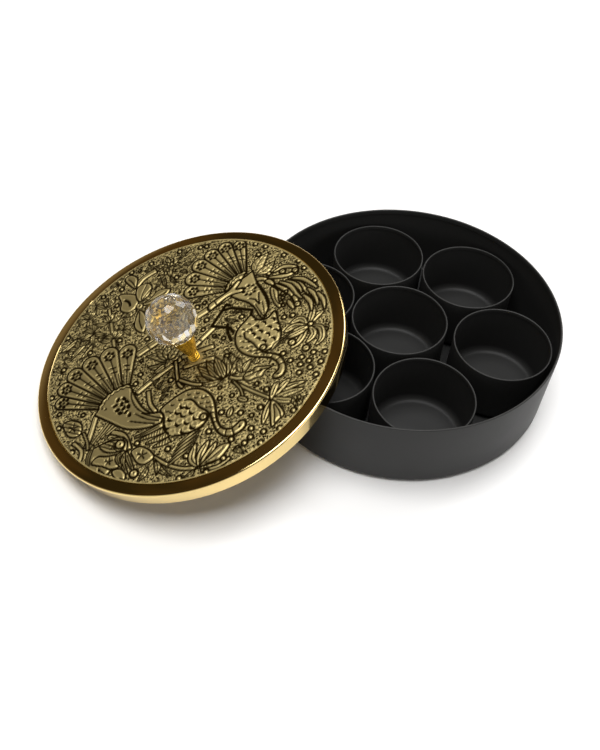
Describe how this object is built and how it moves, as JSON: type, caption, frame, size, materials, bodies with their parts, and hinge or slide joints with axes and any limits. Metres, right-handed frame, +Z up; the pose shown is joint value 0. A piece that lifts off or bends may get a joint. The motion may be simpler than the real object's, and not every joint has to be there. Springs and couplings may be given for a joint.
{
  "type": "spice box",
  "caption": "Round metal spice tin holding loose round cups, with an embossed gold lid that has a cut crystal ball knob and leans on the open tin.",
  "frame": {"origin": "middle of the tin's flat base, on the surface that it stands on", "axes": "+Z up; the lid, taken off, leans on the tin's rim on the -X side; the picture looks from -Y and a little from -X"},
  "size_m": [0.3395, 0.2044, 0.0931],
  "materials": {
    "black_coat": "satin black powder coat, dark grey where it faces the light",
    "gold_plate": "mirror-polished pale gold plating on pressed steel",
    "antique_gold": "embossed sheet in antique gold, dark brown in the grooves",
    "bright_gold": "polished deep gold",
    "crystal": "clear, flat polished facets",
    "zinc_steel": "zinc-plated screw and washer"
  },
  "bodies": {
    "box": {"box_shell": "black_coat"},
    "centre_cup": {"centre_cup": "black_coat"},
    "ring_cup_1": {"ring_cup_1": "black_coat"},
    "ring_cup_2": {"ring_cup_2": "black_coat"},
    "ring_cup_3": {"ring_cup_3": "black_coat"},
    "ring_cup_4": {"ring_cup_4": "black_coat"},
    "ring_cup_5": {"ring_cup_5": "black_coat"},
    "ring_cup_6": {"ring_cup_6": "black_coat"},
    "lid": {"lid_shell": "gold_plate", "embossed_plate": "antique_gold", "knob_ferrule": "bright_gold", "crystal_ball": "crystal", "knob_screw": "zinc_steel", "knob_washer": "zinc_steel"}
  },
  "joints": [
    {"name": "lid_lift", "type": "slide", "parent": "box", "child": "lid", "axis": [0, 0, 1], "range_m": [0, 0.12]},
    {"name": "centre_cup_lift", "type": "slide", "parent": "box", "child": "centre_cup", "axis": [0, 0, 1], "range_m": [0, 0.06]},
    {"name": "ring_cup_1_lift", "type": "slide", "parent": "box", "child": "ring_cup_1", "axis": [0, 0, 1], "range_m": [0, 0.06]},
    {"name": "ring_cup_2_lift", "type": "slide", "parent": "box", "child": "ring_cup_2", "axis": [0, 0, 1], "range_m": [0, 0.06]},
    {"name": "ring_cup_3_lift", "type": "slide", "parent": "box", "child": "ring_cup_3", "axis": [0, 0, 1], "range_m": [0, 0.06]},
    {"name": "ring_cup_4_lift", "type": "slide", "parent": "box", "child": "ring_cup_4", "axis": [0, 0, 1], "range_m": [0, 0.06]},
    {"name": "ring_cup_5_lift", "type": "slide", "parent": "box", "child": "ring_cup_5", "axis": [0, 0, 1], "range_m": [0, 0.06]},
    {"name": "ring_cup_6_lift", "type": "slide", "parent": "box", "child": "ring_cup_6", "axis": [0, 0, 1], "range_m": [0, 0.06]}
  ],
  "couplings": [
    {"joint": "ring_cup_3_lift", "follows": "lid_lift", "ratio": 0.5},
    {"joint": "ring_cup_4_lift", "follows": "lid_lift", "ratio": 0.5}
  ]
}
